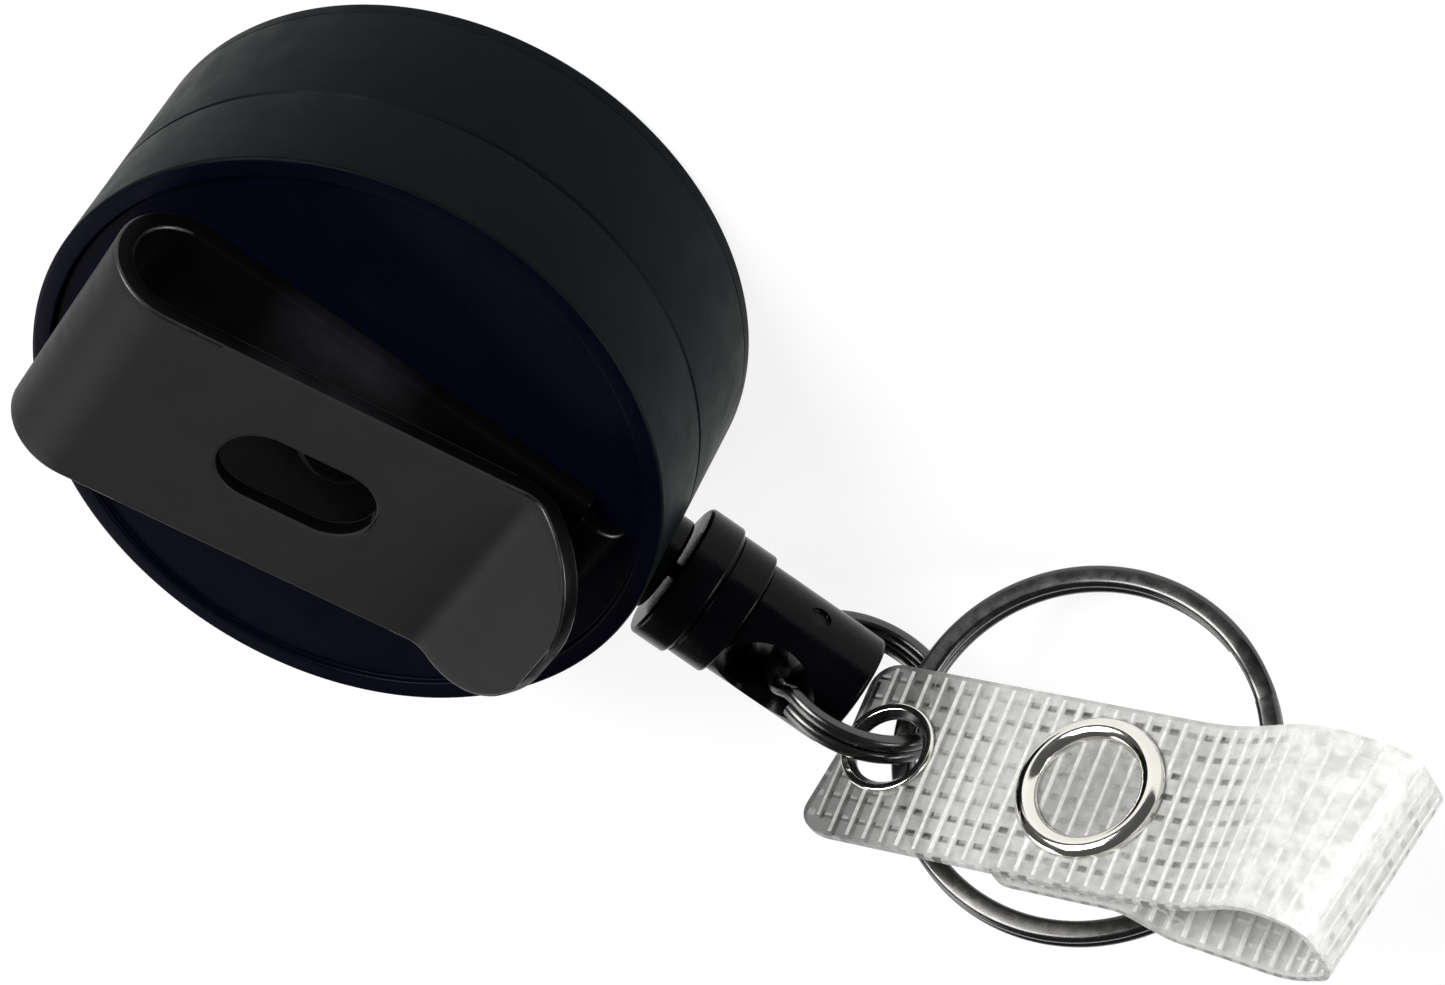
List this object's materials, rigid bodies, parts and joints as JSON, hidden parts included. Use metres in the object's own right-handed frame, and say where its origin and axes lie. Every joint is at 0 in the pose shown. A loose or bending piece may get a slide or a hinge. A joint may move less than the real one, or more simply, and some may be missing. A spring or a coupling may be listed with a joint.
{
  "type": "retractable badge reel",
  "caption": "Round retractable badge reel: drum case with belt clip, cord end with swivel, small and large split rings, and a clear snap strap",
  "frame": {"origin": "centre of the flat front face on which the case lies", "axes": "+X is the way the cord leaves the case, +Z is the axis of the case from the front face to the belt clip, +Y completes a right-handed frame"},
  "size_m": [0.0838, 0.047, 0.0274],
  "materials": {
    "case_plastic": "satin black moulded plastic with a faint blue tint",
    "clip_steel": "satin dark grey painted spring steel",
    "fitting_plastic": "black moulded plastic",
    "ring_steel": "dark gunmetal plated steel wire",
    "nickel": "bright nickel plate",
    "strap_vinyl": "clear vinyl with a white thread mesh",
    "cord": "black braided cord",
    "inner_plastic": "white moulded plastic",
    "spring_steel": "blued spring strip",
    "inner_steel": "plain steel"
  },
  "bodies": {
    "case": {"front_shell": "case_plastic", "rear_shell": "case_plastic", "centre_post": "inner_steel", "lower_thrust_washer": "inner_plastic", "upper_thrust_washer": "inner_plastic", "exit_bush": "fitting_plastic", "belt_clip": "clip_steel", "clip_rivet": "clip_steel", "spiral_spring": "spring_steel"},
    "reel": {"spool": "inner_plastic", "spring_cover": "inner_plastic", "cord_pack": "cord"},
    "cord_end": {"cord_lead": "cord", "cord_knot": "cord", "end_cap": "fitting_plastic"},
    "sleeve": {"end_sleeve": "fitting_plastic"},
    "small_link": {"small_ring": "ring_steel"},
    "large_link": {"large_ring": "ring_steel"},
    "strap": {"strap_upper": "strap_vinyl", "strap_eyelet": "nickel", "snap_cap": "nickel", "snap_socket": "nickel"},
    "flap": {"strap_lower": "strap_vinyl", "snap_stud": "nickel"}
  },
  "joints": [
    {"name": "cord_pull", "type": "slide", "parent": "case", "child": "cord_end", "axis": [1, 0, 0], "range_m": [0, 0.9], "stiffness_N_per_m": 0.8, "springref_m": -0.35, "deforming": ["cord_lead"]},
    {"name": "spool_spin", "type": "hinge", "parent": "case", "child": "reel", "pos_m": [0, 0, 0.0096], "axis": [0, 0, 1], "range_deg": [-4700, 10]},
    {"name": "sleeve_spin", "type": "hinge", "parent": "cord_end", "child": "sleeve", "pos_m": [0.0261, 0, 0.0096], "axis": [1, 0, 0], "continuous": true},
    {"name": "small_ring_swing", "type": "hinge", "parent": "sleeve", "child": "small_link", "pos_m": [0.0294, 0, 0.0099], "axis": [0, 0, 1], "range_deg": [-40, 55]},
    {"name": "large_ring_turn", "type": "hinge", "parent": "small_link", "child": "large_link", "pos_m": [0.0474, 0.00805, 0.01081], "axis": [-0.5278, 0.6838, 0.5037], "continuous": true},
    {"name": "strap_turn", "type": "hinge", "parent": "small_link", "child": "strap", "pos_m": [0.03763, 0.00242, 0.01439], "axis": [-0.7087, 0.6051, 0.3627], "range_deg": [-25, 2]},
    {"name": "flap_open", "type": "hinge", "parent": "strap", "child": "flap", "pos_m": [0.06119, 0.02318, 0.02056], "axis": [0.1188, -0.4044, 0.9068], "range_deg": [0, 4], "stiffness_Nm_per_rad": 0.0002}
  ],
  "couplings": [
    {"joint": "spool_spin", "follows": "cord_pull", "rad_per_m": -90.662}
  ]
}
